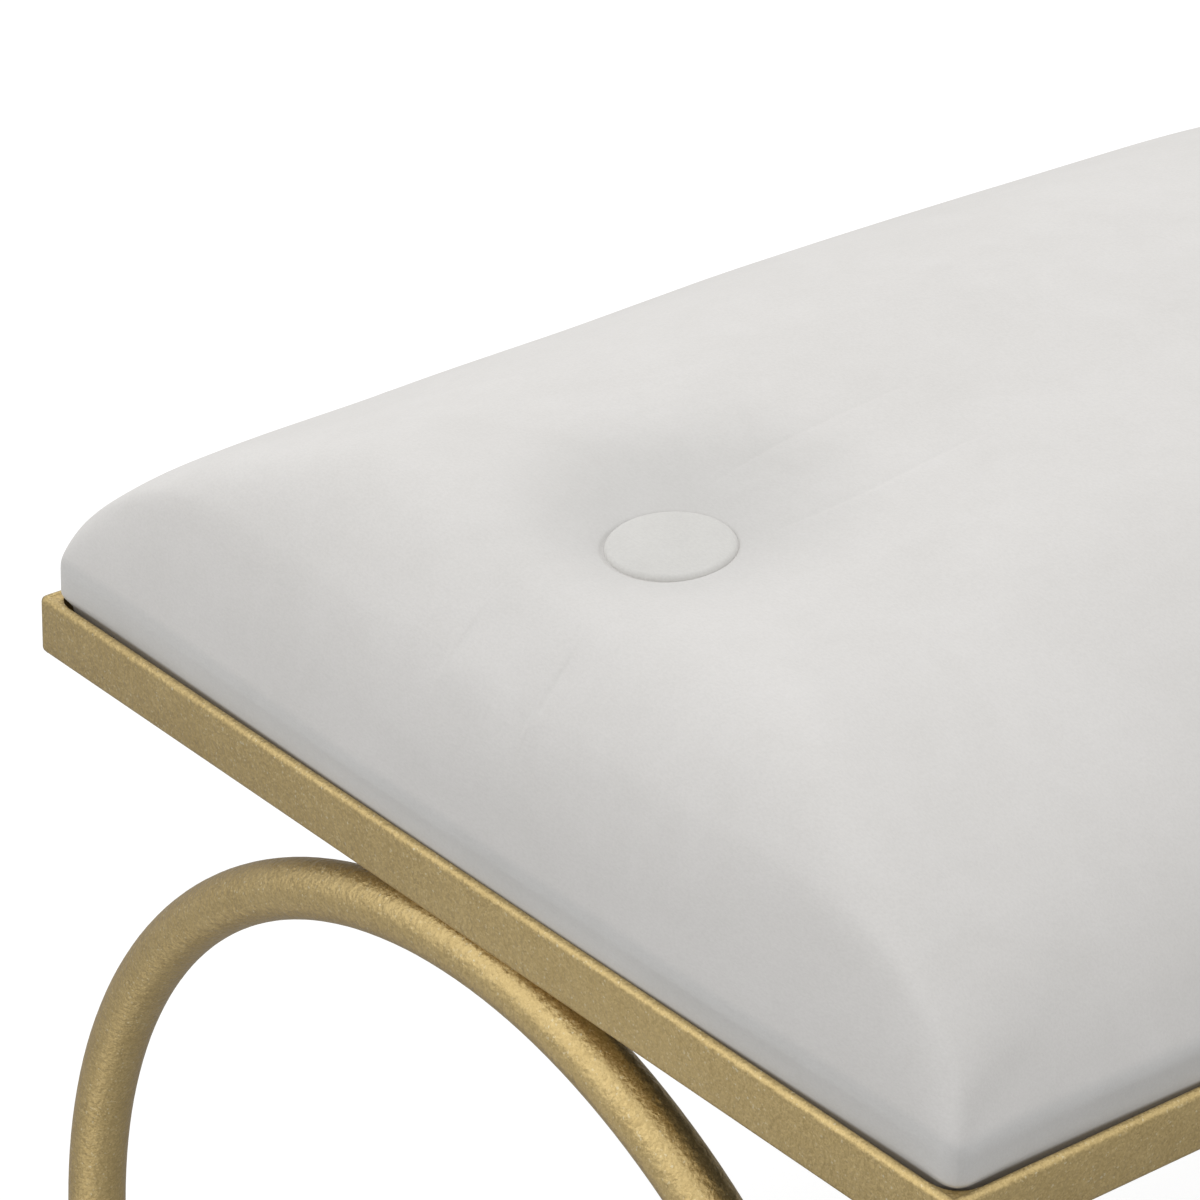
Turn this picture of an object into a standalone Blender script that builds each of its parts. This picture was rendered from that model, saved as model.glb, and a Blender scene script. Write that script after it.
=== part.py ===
"""Padded stool: an angle-steel seat frame on two arched tube legs, with a buttoned drop-in seat.

Units are metres, +Z is up, X runs along the long sides and Y across the seat.
The origin is on the floor under the middle of the seat.
"""
import math

import bmesh
import bpy

# Overall sizes
SEAT_LENGTH = 0.565
SEAT_WIDTH = 0.425
FRAME_TOP = 0.363

# Gap between two pieces that touch, overrun of a cutter, and distance at which points merge
SEAT_GAP = 0.0003
CUT_OVERRUN = 0.002
MERGE_DISTANCE = 0.00001

# Angle-steel rails
RAIL_HEIGHT = 0.020
RAIL_FLANGE = 0.020
RAIL_WALL = 0.003
RAIL_EDGE_ROUND = 0.0010
RAIL_EDGE_STEPS = 2

# Arched tube legs
TUBE_DIAMETER = 0.019
TUBE_WALL = 0.0015
TUBE_SIDES = 16
ARCH_INSET = 0.003
ARCH_OUTSET = 0.0015
ARCH_STEPS = 26

# Foot glides
GLIDE_THICKNESS = 0.004
GLIDE_EDGE_ROUND = 0.0012
GLIDE_LIP = 0.0004
GLIDE_PLUG_LENGTH = 0.014
GLIDE_RIB_DEPTH = 0.0010
GLIDE_RIB_COUNT = 3
GLIDE_SIDES = 20

# Weld beads, under the mitres and inside the crown of each arch
CORNER_BEAD_WIDTH = 0.0045
CORNER_BEAD_HEIGHT = 0.0013
CORNER_BEAD_SHARE = 0.86
CROWN_BEAD_LENGTH = 0.048
CROWN_BEAD_INNER = 0.0034
CROWN_BEAD_OUTER = 0.0086
CROWN_BEAD_TIP_SHARE = 0.25
CROWN_BEAD_STATIONS = 7
BEAD_SIDES = 12

# Layers of the seat, from the flange up
DUST_CLOTH = 0.0008
DUST_OVERLAP = 0.0035
DUST_SAG = 0.0045
DUST_FULLNESS = 4
BOARD_THICKNESS = 0.012
BOARD_SIDE_GAP = 0.0008
BOARD_CORNER_STEPS = 5
VELVET = 0.0012
HEM_WIDTH = 0.034
WADDING = 0.004
LAYER_GAP = 0.0005

# Cushion: room inside the frame, bow of the sides above it, side, shoulders and crown
CUSHION_ROOM = 0.0025
CUSHION_BOW = 0.0021
CUSHION_TUCK_DEPTH = 0.0020
CUSHION_TUCK_RISE = 0.0010
CUSHION_CORNER = 0.010
CUSHION_SIDE_RISE = 0.015
CUSHION_CROWN_RISE = 0.094
CUSHION_LONG_SWELL = 0.0115
CROSS_REACH = 0.150
CROSS_POWER = 1.67
LONG_REACH = 0.075
LONG_POWER = 1.95
CORNER_FULLNESS = 3.0

# Lines of the cushion's net: in the corner square, over the shoulders and over the button's seat
CORNER_LINE_SHARES = (0.30, 1.0)
END_LINE_SHARE = 0.48
SIDE_LINE_SHARES = (0.22, 0.58)
SEAT_LINE_SHARE = 0.88

# Buttons, their dimples and what draws them down
BUTTON_FROM_END = 0.078
BUTTON_DIAMETER = 0.039
BUTTON_THICKNESS = 0.005
BUTTON_EDGE_ROUND = 0.0018
BUTTON_CROWN = 0.0008
BUTTON_SIDES = 28
DIMPLE_DEPTH = 0.012
DIMPLE_FLOOR_MARGIN = 0.0035
DIMPLE_REACH = 0.064
DIMPLE_SQUARENESS = 3
TWINE_DIAMETER = 0.0020
TWINE_SIDES = 10
KNOT_DIAMETER = 0.0046
KNOT_HEIGHT = 0.0016
KNOT_FLAT_SHARE = 0.65
WASHER_DIAMETER = 0.018
WASHER_THICKNESS = 0.0012
WASHER_SIDES = 20

# Seat screws
SCREW_DIAMETER = 0.004
SCREW_HEAD_DIAMETER = 0.008
SCREW_HEAD_HEIGHT = 0.0024
SCREW_HEAD_SHARE = 0.6
SCREW_BITE = 0.009
SCREW_SIDES = 12
SIDE_SCREW_SPACING = 0.340
END_SCREW_SPACING = 0.220

SMOOTH_ANGLE = math.radians(40)
TUBE_SMOOTH_ANGLE = math.radians(60)

# Heights and places that follow from the sizes
RAIL_BOTTOM = FRAME_TOP - RAIL_HEIGHT
FLANGE_TOP = RAIL_BOTTOM + RAIL_WALL
DUST_BOTTOM = FLANGE_TOP + SEAT_GAP
HEM_BOTTOM = DUST_BOTTOM + DUST_CLOTH + SEAT_GAP
BOARD_BOTTOM = HEM_BOTTOM + VELVET + SEAT_GAP
BOARD_TOP = BOARD_BOTTOM + BOARD_THICKNESS
TUBE_RADIUS = TUBE_DIAMETER / 2
TUBE_FOOT = GLIDE_THICKNESS + SEAT_GAP
CROWN_CENTRE = RAIL_BOTTOM - SEAT_GAP - TUBE_RADIUS
ARCH_RADIUS = SEAT_WIDTH / 2 - ARCH_INSET - TUBE_RADIUS
ARCH_SPRING = CROWN_CENTRE - ARCH_RADIUS
LEG_X = SEAT_LENGTH / 2 + ARCH_OUTSET - TUBE_RADIUS
CUSHION_INSET = RAIL_WALL + CUSHION_ROOM
CUSHION_X = SEAT_LENGTH / 2 - CUSHION_INSET
CUSHION_Y = SEAT_WIDTH / 2 - CUSHION_INSET
BOARD_INSET = CUSHION_INSET + VELVET + BOARD_SIDE_GAP
BUTTON_X = SEAT_LENGTH / 2 - BUTTON_FROM_END
BUTTON_RADIUS = BUTTON_DIAMETER / 2
DIMPLE_FLOOR = BUTTON_RADIUS + DIMPLE_FLOOR_MARGIN
TWINE_RADIUS = TWINE_DIAMETER / 2
TWINE_HOLE_RADIUS = TWINE_RADIUS + SEAT_GAP
SCREW_RADIUS = SCREW_DIAMETER / 2
SCREW_HOLE_RADIUS = SCREW_RADIUS + SEAT_GAP
SCREW_INSET = (RAIL_WALL + RAIL_FLANGE) / 2
SCREW_TIP = BOARD_BOTTOM + SCREW_BITE

ENDS = {"left": -1, "right": 1}
SIDES = {"front": -1, "back": 1}


def clear_scene():
    """Start from an empty scene."""
    for old in list(bpy.data.objects):
        bpy.data.objects.remove(old, do_unlink=True)


def make_material(name, colour, roughness, metallic=0.0):
    """A plain finish: base colour, roughness and metallic value."""
    material = bpy.data.materials.new(name)
    material.use_nodes = True
    shader = material.node_tree.nodes["Principled BSDF"]
    shader.inputs["Base Color"].default_value = (*colour, 1.0)
    shader.inputs["Roughness"].default_value = roughness
    shader.inputs["Metallic"].default_value = metallic
    return material


def make_mesh(name, body, material, smooth_angle=SMOOTH_ANGLE):
    """Turn a finished bmesh into a mesh with its faces outwards."""
    bmesh.ops.recalc_face_normals(body, faces=body.faces)
    mesh = bpy.data.meshes.new(name)
    body.to_mesh(mesh)
    body.free()
    if material:
        mesh.materials.append(material)
    mesh.shade_smooth()
    mesh.set_sharp_from_angle(angle=smooth_angle)
    return mesh


def add_object(name, mesh, location=(0, 0, 0), turn=0):
    """Place a mesh as a named object, turned about Z."""
    made = bpy.data.objects.new(name, mesh)
    made.location = location
    made.rotation_euler = (0, 0, turn)
    bpy.context.collection.objects.link(made)
    return made


def cut(target, cutter):
    """Take the cutter's solids out of the target."""
    cutter.hide_render = True
    cutter.display_type = "WIRE"
    modifier = target.modifiers.new("Cut " + cutter.name, "BOOLEAN")
    modifier.operation = "DIFFERENCE"
    modifier.object = cutter


def spin_profile(body, points, sides, closed=False, place=(0, 0)):
    """Turn (radius, height) points round an upright axis; points on the axis close the ends."""
    verts = [body.verts.new((radius + place[0], place[1], height)) for radius, height in points]
    pairs = list(zip(verts, verts[1:]))
    if closed:
        pairs.append((verts[-1], verts[0]))
    edges = [body.edges.new(pair) for pair in pairs]
    bmesh.ops.spin(
        body, geom=verts + edges, cent=(*place, 0), axis=(0, 0, 1),
        angle=math.tau, steps=sides, use_merge=True,
    )
    bmesh.ops.remove_doubles(body, verts=body.verts, dist=MERGE_DISTANCE)


def quarter(centre, radius, start, steps=2):
    """Points of a quarter circle about a centre, anticlockwise from the start angle."""
    turn = math.pi / 2 / steps
    return [
        (centre[0] + radius * math.cos(start + turn * k), centre[1] + radius * math.sin(start + turn * k))
        for k in range(steps + 1)
    ]


def rail_mesh(name, length, paint):
    """A mitred length of angle steel along X, its outer face at Y = 0 and the nook towards +Y."""
    section = (
        (0, RAIL_BOTTOM), (0, FRAME_TOP), (RAIL_WALL, FRAME_TOP), (RAIL_WALL, FLANGE_TOP),
        (RAIL_FLANGE, FLANGE_TOP), (RAIL_FLANGE, RAIL_BOTTOM),
    )
    mitre_setback = SEAT_GAP / math.sqrt(2)
    body = bmesh.new()
    loops = []
    for end in ENDS.values():
        loops.append([
            body.verts.new((end * (length / 2 - inset - mitre_setback), inset, height))
            for inset, height in section
        ])
    for loop in loops:
        body.faces.new(loop)
    edges = [body.edges.get((loop[0], loop[1])) for loop in loops]
    for k in range(len(section)):
        following = (k + 1) % len(section)
        body.faces.new((loops[0][k], loops[0][following], loops[1][following], loops[1][k]))
        edges.append(body.edges.get((loops[0][k], loops[1][k])))
    bmesh.ops.bevel(
        body, geom=edges, offset=RAIL_EDGE_ROUND, segments=RAIL_EDGE_STEPS,
        affect="EDGES", profile=0.5, material=-1,
    )
    return make_mesh(name, body, paint)


def make_rails(paint, screw_cutter):
    """Two side rails and two end rails, mitred to one frame."""
    side_mesh = rail_mesh("side_rail", SEAT_LENGTH, paint)
    for name, side in SIDES.items():
        turn = math.pi if side > 0 else 0
        rail = add_object("side_rail_" + name, side_mesh, (0, side * SEAT_WIDTH / 2, 0), turn)
        cut(rail, screw_cutter)
    end_mesh = rail_mesh("end_rail", SEAT_WIDTH, paint)
    for name, end in ENDS.items():
        rail = add_object("end_rail_" + name, end_mesh, (end * SEAT_LENGTH / 2, 0, 0), end * math.pi / 2)
        cut(rail, screw_cutter)


def make_corner_welds(paint):
    """A low bead under each mitre, from the inner corner outwards."""
    top = RAIL_BOTTOM - SEAT_GAP
    bead_length = RAIL_FLANGE * math.sqrt(2) * CORNER_BEAD_SHARE
    body = bmesh.new()
    bmesh.ops.create_uvsphere(body, u_segments=BEAD_SIDES, v_segments=BEAD_SIDES // 2, radius=1)
    bmesh.ops.scale(body, vec=(bead_length / 2, CORNER_BEAD_WIDTH / 2, CORNER_BEAD_HEIGHT), verts=body.verts)
    lower = bmesh.ops.bisect_plane(
        body, geom=body.verts[:] + body.edges[:] + body.faces[:], dist=MERGE_DISTANCE,
        plane_co=(0, 0, 0), plane_no=(0, 0, 1), clear_outer=True,
    )
    bmesh.ops.edgeloop_fill(body, edges=new_edges(lower["geom_cut"]))
    mesh = make_mesh("corner_weld", body, paint)
    x = (SEAT_LENGTH - RAIL_FLANGE) / 2
    y = (SEAT_WIDTH - RAIL_FLANGE) / 2
    for side_name, side in SIDES.items():
        for end_name, end in ENDS.items():
            turn = math.pi / 4 * end * side
            add_object(f"corner_weld_{side_name}_{end_name}", mesh, (end * x, side * y, top), turn)


def new_verts(result):
    """The points among what an operator made."""
    return [item for item in result["geom"] if isinstance(item, bmesh.types.BMVert)]


def new_edges(items):
    """The edges in a list of bmesh items."""
    return [item for item in items if isinstance(item, bmesh.types.BMEdge)]


def make_arch_legs(paint):
    """Tubes bent to a half circle on two straight legs, one under each end rail."""
    body = bmesh.new()
    rise = ARCH_SPRING - TUBE_FOOT
    ring = bmesh.ops.create_circle(body, cap_ends=False, segments=TUBE_SIDES, radius=TUBE_RADIUS)
    bmesh.ops.translate(body, verts=ring["verts"], vec=(0, -ARCH_RADIUS, TUBE_FOOT))
    raised = bmesh.ops.extrude_edge_only(body, edges=body.edges[:])
    upper = new_verts(raised)
    bmesh.ops.translate(body, verts=upper, vec=(0, 0, rise))
    rim = [edge for edge in new_edges(raised["geom"]) if all(vert in upper for vert in edge.verts)]
    bent = bmesh.ops.spin(
        body, geom=upper + rim, cent=(0, 0, ARCH_SPRING), axis=(-1, 0, 0),
        angle=math.pi, steps=ARCH_STEPS, use_merge=False,
    )
    lowered = bmesh.ops.extrude_edge_only(body, edges=new_edges(bent["geom_last"]))
    bmesh.ops.translate(body, verts=new_verts(lowered), vec=(0, 0, -rise))
    bmesh.ops.remove_doubles(body, verts=body.verts, dist=MERGE_DISTANCE)
    mesh = make_mesh("arch_leg", body, paint, TUBE_SMOOTH_ANGLE)
    for name, end in ENDS.items():
        leg = add_object("arch_leg_" + name, mesh, (end * LEG_X, 0, 0))
        wall = leg.modifiers.new("Tube wall", "SOLIDIFY")
        wall.thickness = TUBE_WALL
        wall.offset = -1
        wall.use_even_offset = True


def nook_height(across, along):
    """Height just clear of the arch's tube, a distance across from its middle and along its crown."""
    clear = TUBE_RADIUS + 2 * SEAT_GAP
    sag = ARCH_RADIUS - math.sqrt(ARCH_RADIUS**2 - along**2)
    return CROWN_CENTRE + math.sqrt(clear**2 - across**2) - sag


def make_crown_welds(paint):
    """A fillet bead in the inner nook between each arch's crown and its rail's flange."""
    top = RAIL_BOTTOM - SEAT_GAP
    swell = CROWN_BEAD_OUTER - CROWN_BEAD_INNER
    body = bmesh.new()
    loops = []
    for k in range(CROWN_BEAD_STATIONS):
        along = CROWN_BEAD_LENGTH * (k / (CROWN_BEAD_STATIONS - 1) - 1 / 2)
        full = 1 - (2 * along / CROWN_BEAD_LENGTH)**4
        outer = CROWN_BEAD_INNER + swell * (CROWN_BEAD_TIP_SHARE + (1 - CROWN_BEAD_TIP_SHARE) * full)
        middle = (CROWN_BEAD_INNER + outer) / 2
        corners = (
            (CROWN_BEAD_INNER, top), (outer, top),
            (outer, nook_height(outer, along)), (middle, nook_height(middle, along)),
        )
        loops.append([body.verts.new((across, along, height)) for across, height in corners])
    for near, far in zip(loops, loops[1:]):
        for k in range(len(near)):
            following = (k + 1) % len(near)
            body.faces.new((near[k], near[following], far[following], far[k]))
    body.faces.new(loops[0])
    body.faces.new(loops[-1])
    mesh = make_mesh("crown_weld", body, paint)
    for name, end in ENDS.items():
        turn = math.pi if end > 0 else 0
        add_object("crown_weld_" + name, mesh, (end * LEG_X, 0, 0), turn)


def make_foot_glides(plastic):
    """Plastic glides: a round pad on the floor and a ribbed plug up the tube."""
    pad = TUBE_RADIUS + GLIDE_LIP
    rib = TUBE_RADIUS - TUBE_WALL - SEAT_GAP
    root = rib - GLIDE_RIB_DEPTH
    pitch = GLIDE_PLUG_LENGTH / (GLIDE_RIB_COUNT + 1 / 2)
    plug_top = GLIDE_THICKNESS + GLIDE_PLUG_LENGTH
    profile = [(0, 0)]
    profile += quarter((pad - GLIDE_EDGE_ROUND, GLIDE_EDGE_ROUND), GLIDE_EDGE_ROUND, -math.pi / 2)
    profile += [(pad, GLIDE_THICKNESS), (root, GLIDE_THICKNESS)]
    for k in range(GLIDE_RIB_COUNT):
        foot = GLIDE_THICKNESS + pitch * (k + 1 / 2)
        profile += [(root, foot), (rib, foot), (root, foot + pitch / 2)]
    profile += [(root, plug_top), (0, plug_top)]
    body = bmesh.new()
    spin_profile(body, profile, GLIDE_SIDES)
    mesh = make_mesh("foot_glide", body, plastic)
    for side_name, side in SIDES.items():
        for end_name, end in ENDS.items():
            add_object(f"foot_glide_{side_name}_{end_name}", mesh, (end * LEG_X, side * ARCH_RADIUS, 0))


def shoulder(inset, reach, power):
    """Height share of the cushion's shoulder at an inset from its side: 0 there, 1 past the reach."""
    away = max(0.0, 1 - inset / reach)
    return (1 - away**power)**(1 / power)


def free_height(x, y):
    """Top of the velvet at a point, before the buttons draw it down."""
    along = shoulder(CUSHION_X - abs(x), LONG_REACH, LONG_POWER)
    across = shoulder(CUSHION_Y - abs(y), CROSS_REACH, CROSS_POWER)
    rise = CUSHION_CROWN_RISE - CUSHION_SIDE_RISE - CUSHION_LONG_SWELL * (x / CUSHION_X)**2
    lack_x = (1 - along)**CORNER_FULLNESS
    lack_y = (1 - across)**CORNER_FULLNESS
    full = 1 - (lack_x + lack_y - lack_x * lack_y)**(1 / CORNER_FULLNESS)
    return FRAME_TOP + CUSHION_SIDE_RISE + rise * full


def dimple_floor_height():
    """Height of the flat floor that a button sits on."""
    return free_height(BUTTON_X, 0) - DIMPLE_DEPTH


def velvet_height(x, y):
    """Top of the velvet at a point, with the two button dimples."""
    height = free_height(x, y)
    floor = dimple_floor_height()
    for end in ENDS.values():
        from_button = abs(x - end * BUTTON_X)**DIMPLE_SQUARENESS + abs(y)**DIMPLE_SQUARENESS
        distance = from_button**(1 / DIMPLE_SQUARENESS)
        out = min(1.0, max(0.0, (distance - DIMPLE_FLOOR) / (DIMPLE_REACH - DIMPLE_FLOOR)))
        height += (floor - height) * (1 - out * out * (3 - 2 * out))
    return height


def net_lines(half, corner_lines, inner_lines):
    """Lines of the net from one side to the other, mirrored about the middle."""
    spots = sorted([half - CUSHION_CORNER * share for share in corner_lines] + inner_lines)
    return [-half] + [-spot for spot in reversed(spots)] + [0.0] + spots + [half]


def rounded_place(x, y):
    """A net point's place: in the corner squares it is drawn onto the quarter disc."""
    across_x = (abs(x) - CUSHION_X) / CUSHION_CORNER + 1
    across_y = (abs(y) - CUSHION_Y) / CUSHION_CORNER + 1
    if across_x <= 0 or across_y <= 0:
        return x, y
    drawn_x = across_x * math.sqrt(1 - across_y**2 / 2)
    drawn_y = across_y * math.sqrt(1 - across_x**2 / 2)
    return (
        math.copysign(CUSHION_X - CUSHION_CORNER * (1 - drawn_x), x),
        math.copysign(CUSHION_Y - CUSHION_CORNER * (1 - drawn_y), y),
    )


def cushion_net():
    """Crowned top of the velvet as an open net, with its two dimples."""
    seat = DIMPLE_FLOOR * SEAT_LINE_SHARE
    slope = (DIMPLE_FLOOR + DIMPLE_REACH) / 2
    inner_corner = CUSHION_X - CUSHION_CORNER
    outer_seat = BUTTON_X + seat
    long_lines = [
        BUTTON_X - seat, outer_seat, BUTTON_X - slope, BUTTON_X - DIMPLE_REACH,
        outer_seat + (inner_corner - outer_seat) * END_LINE_SHARE,
    ]
    run = CUSHION_Y - CUSHION_CORNER - DIMPLE_REACH
    cross_lines = [seat, slope, DIMPLE_REACH]
    cross_lines += [DIMPLE_REACH + run * (1 - share) for share in SIDE_LINE_SHARES]
    body = bmesh.new()
    rows = []
    lines_y = net_lines(CUSHION_Y, CORNER_LINE_SHARES, cross_lines)
    for x in net_lines(CUSHION_X, CORNER_LINE_SHARES, long_lines):
        rows.append([body.verts.new((*rounded_place(x, y), velvet_height(x, y))) for y in lines_y])
    for near, far in zip(rows, rows[1:]):
        for k in range(len(lines_y) - 1):
            body.faces.new((near[k], far[k], far[k + 1], near[k + 1]))
    return body


def draw_rim(body, rim, inward, height):
    """Draw the rim of an open skin on to a height, so far in from where it is; returns the new rim."""
    half_x = max(vert.co.x for edge in rim for vert in edge.verts)
    half_y = max(vert.co.y for edge in rim for vert in edge.verts)
    drawn = bmesh.ops.extrude_edge_only(body, edges=rim)
    verts = new_verts(drawn)
    bmesh.ops.scale(body, vec=(1 - inward / half_x, 1 - inward / half_y, 1), verts=verts)
    for vert in verts:
        vert.co.z = height
    return [edge for edge in new_edges(drawn["geom"]) if edge.is_boundary]


def bow_sides(body):
    """Bow the sides out above the frame, most at the middle of each side."""
    for vert in body.verts:
        if vert.co.z > FRAME_TOP:
            share_x = vert.co.x / CUSHION_X
            share_y = vert.co.y / CUSHION_Y
            vert.co.x += CUSHION_BOW * share_x * (1 - share_y**2)
            vert.co.y += CUSHION_BOW * share_y * (1 - share_x**2)


def shrink(body, depth):
    """Move an open skin inwards by a depth."""
    bmesh.ops.recalc_face_normals(body, faces=body.faces)
    body.normal_update()
    moves = [(vert, vert.normal * vert.calc_shell_factor() * depth) for vert in body.verts]
    for vert, move in moves:
        vert.co -= move


def cushion_skin(depth, foot):
    """Skin of the cushion a depth under the velvet, open at its foot; returns it and its rim."""
    body = cushion_net()
    rim = [edge for edge in body.edges if edge.is_boundary]
    rim = draw_rim(body, rim, 0, FRAME_TOP + CUSHION_TUCK_RISE)
    rim = draw_rim(body, rim, 0, foot)
    bow_sides(body)
    if depth:
        shrink(body, depth)
        for edge in rim:
            for vert in edge.verts:
                vert.co.z = foot
    return body, rim


def make_seat_cover(velvet, screw_cutter, twine_cutter):
    """Velvet over the cushion, down the sides into the frame and turned in under the board."""
    body, rim = cushion_skin(0, FRAME_TOP - CUSHION_TUCK_DEPTH)
    rim = draw_rim(body, rim, 0, HEM_BOTTOM)
    draw_rim(body, rim, HEM_WIDTH, HEM_BOTTOM)
    cover = add_object("seat_cover", make_mesh("seat_cover", body, velvet))
    cloth = cover.modifiers.new("Cloth", "SOLIDIFY")
    cloth.thickness = VELVET
    cloth.offset = -1
    cloth.use_even_offset = True
    cut(cover, screw_cutter)
    cut(cover, twine_cutter)


def make_wadding(polyester, twine_cutter):
    """Soft wadding between the foam and the velvet, open at the board."""
    foot = BOARD_TOP + LAYER_GAP
    body, rim = cushion_skin(VELVET + LAYER_GAP, foot)
    inner, rim = cushion_skin(VELVET + LAYER_GAP + WADDING, foot)
    bmesh.ops.reverse_faces(inner, faces=inner.faces)
    lining = bpy.data.meshes.new("wadding_lining")
    inner.to_mesh(lining)
    inner.free()
    body.from_mesh(lining)
    bmesh.ops.bridge_loops(body, edges=[edge for edge in body.edges if edge.is_boundary])
    wadding = add_object("wadding_wrap", make_mesh("wadding_wrap", body, polyester))
    cut(wadding, twine_cutter)


def make_foam(foam, twine_cutter):
    """Foam block with the cushion's form, flat on the board."""
    body, rim = cushion_skin(VELVET + WADDING + 2 * LAYER_GAP, BOARD_TOP + LAYER_GAP)
    bmesh.ops.edgeloop_fill(body, edges=rim)
    pad = add_object("foam_pad", make_mesh("foam_pad", body, foam))
    cut(pad, twine_cutter)


def make_seat_board(wood, screw_cutter, twine_cutter):
    """Plywood board that rests on the flanges, with pilot holes and a hole for each twine."""
    body = bmesh.new()
    bmesh.ops.create_cube(body, size=1)
    size = (SEAT_LENGTH - 2 * BOARD_INSET, SEAT_WIDTH - 2 * BOARD_INSET, BOARD_THICKNESS)
    bmesh.ops.scale(body, vec=size, verts=body.verts)
    bmesh.ops.translate(body, vec=(0, 0, (BOARD_BOTTOM + BOARD_TOP) / 2), verts=body.verts)
    upright = [edge for edge in body.edges if abs(edge.verts[0].co.z - edge.verts[1].co.z) > BOARD_THICKNESS / 2]
    bmesh.ops.bevel(
        body, geom=upright, offset=CUSHION_CORNER, segments=BOARD_CORNER_STEPS,
        affect="EDGES", profile=0.5, material=-1,
    )
    board = add_object("seat_board", make_mesh("seat_board", body, wood))
    cut(board, screw_cutter)
    cut(board, twine_cutter)


def make_dust_cover(cloth):
    """Thin black cloth under the board, held on the flanges and sagging a little between them."""
    open_x = SEAT_LENGTH / 2 - RAIL_FLANGE
    open_y = SEAT_WIDTH / 2 - RAIL_FLANGE
    free_x = open_x - CUSHION_ROOM
    free_y = open_y - CUSHION_ROOM
    body = bmesh.new()
    lines = []
    for half, free, inner in ((open_x, free_x, BUTTON_X), (open_y, free_y, open_y / 2)):
        spots = [inner / 2, inner, free]
        reach = half + DUST_OVERLAP
        lines.append([-reach] + [-spot for spot in reversed(spots)] + [0.0] + spots + [reach])
    rows = []
    for x in lines[0]:
        row = []
        for y in lines[1]:
            hang_x = 1 - min(1.0, abs(x) / free_x)**DUST_FULLNESS
            hang_y = 1 - min(1.0, abs(y) / free_y)**DUST_FULLNESS
            row.append(body.verts.new((x, y, DUST_BOTTOM + DUST_CLOTH - DUST_SAG * hang_x * hang_y)))
        rows.append(row)
    for near, far in zip(rows, rows[1:]):
        for k in range(len(row) - 1):
            body.faces.new((near[k], far[k], far[k + 1], near[k + 1]))
    sheet = add_object("dust_cover", make_mesh("dust_cover", body, cloth))
    layer = sheet.modifiers.new("Cloth", "SOLIDIFY")
    layer.thickness = DUST_CLOTH
    layer.offset = -1


def make_buttons(velvet, cord, steel):
    """Covered buttons in the dimples, and for each its twine and the washer under the board."""
    sole = dimple_floor_height() + SEAT_GAP
    top = sole + BUTTON_THICKNESS
    inner = BUTTON_RADIUS - BUTTON_EDGE_ROUND
    profile = [(0, sole)]
    profile += quarter((inner, sole + BUTTON_EDGE_ROUND), BUTTON_EDGE_ROUND, -math.pi / 2)
    profile += quarter((inner, top - BUTTON_EDGE_ROUND), BUTTON_EDGE_ROUND, 0)
    profile += [(inner / 2, top + BUTTON_CROWN * (1 - 1 / 4)), (0, top + BUTTON_CROWN)]
    button = bmesh.new()
    spin_profile(button, profile, BUTTON_SIDES)
    button_mesh = make_mesh("tuft_button", button, velvet)

    washer_top = BOARD_BOTTOM - SEAT_GAP
    washer_bottom = washer_top - WASHER_THICKNESS
    rim = WASHER_DIAMETER / 2
    washer = bmesh.new()
    ring = [(TWINE_HOLE_RADIUS, washer_bottom), (rim, washer_bottom), (rim, washer_top), (TWINE_HOLE_RADIUS, washer_top)]
    spin_profile(washer, ring, WASHER_SIDES, closed=True)
    washer_mesh = make_mesh("twine_washer", washer, steel)

    knot_top = washer_bottom - SEAT_GAP
    knot_low = knot_top - KNOT_HEIGHT
    knot = KNOT_DIAMETER / 2
    twine_top = sole - SEAT_GAP
    twine = bmesh.new()
    profile = [
        (0, knot_low), (knot * KNOT_FLAT_SHARE, knot_low), (knot, (knot_low + knot_top) / 2),
        (knot * KNOT_FLAT_SHARE, knot_top), (TWINE_RADIUS, knot_top), (TWINE_RADIUS, twine_top), (0, twine_top),
    ]
    spin_profile(twine, profile, TWINE_SIDES)
    twine_mesh = make_mesh("button_twine", twine, cord)

    for name, end in ENDS.items():
        place = (end * BUTTON_X, 0, 0)
        add_object("tuft_button_" + name, button_mesh, place)
        add_object("twine_washer_" + name, washer_mesh, place)
        add_object("button_twine_" + name, twine_mesh, place)


def screw_places():
    """Name and middle of each screw: two along every rail."""
    rail_x = SEAT_LENGTH / 2 - SCREW_INSET
    rail_y = SEAT_WIDTH / 2 - SCREW_INSET
    places = {}
    for side_name, side in SIDES.items():
        for end_name, end in ENDS.items():
            places[f"side_screw_{side_name}_{end_name}"] = (end * SIDE_SCREW_SPACING / 2, side * rail_y)
            places[f"end_screw_{end_name}_{side_name}"] = (end * rail_x, side * END_SCREW_SPACING / 2)
    return places


def make_screws(steel):
    """Pan-head screws up through the flanges into the board."""
    head_top = RAIL_BOTTOM - SEAT_GAP
    head_low = head_top - SCREW_HEAD_HEIGHT
    head = SCREW_HEAD_DIAMETER / 2
    profile = [
        (0, head_low), (head * SCREW_HEAD_SHARE, head_low), (head, (head_low + head_top) / 2),
        (head, head_top), (SCREW_RADIUS, head_top), (SCREW_RADIUS, SCREW_TIP), (0, SCREW_TIP),
    ]
    body = bmesh.new()
    spin_profile(body, profile, SCREW_SIDES)
    mesh = make_mesh("seat_screw", body, steel)
    for name, (x, y) in screw_places().items():
        add_object(name, mesh, (x, y, 0))


def make_cutter(name, places, radius, low, high, sides):
    """Upright cylinders that cut the holes for screws or twine."""
    body = bmesh.new()
    for x, y in places:
        spin_profile(body, [(0, low), (radius, low), (radius, high), (0, high)], sides, place=(x, y))
    return add_object(name, make_mesh(name, body, None))


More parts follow.
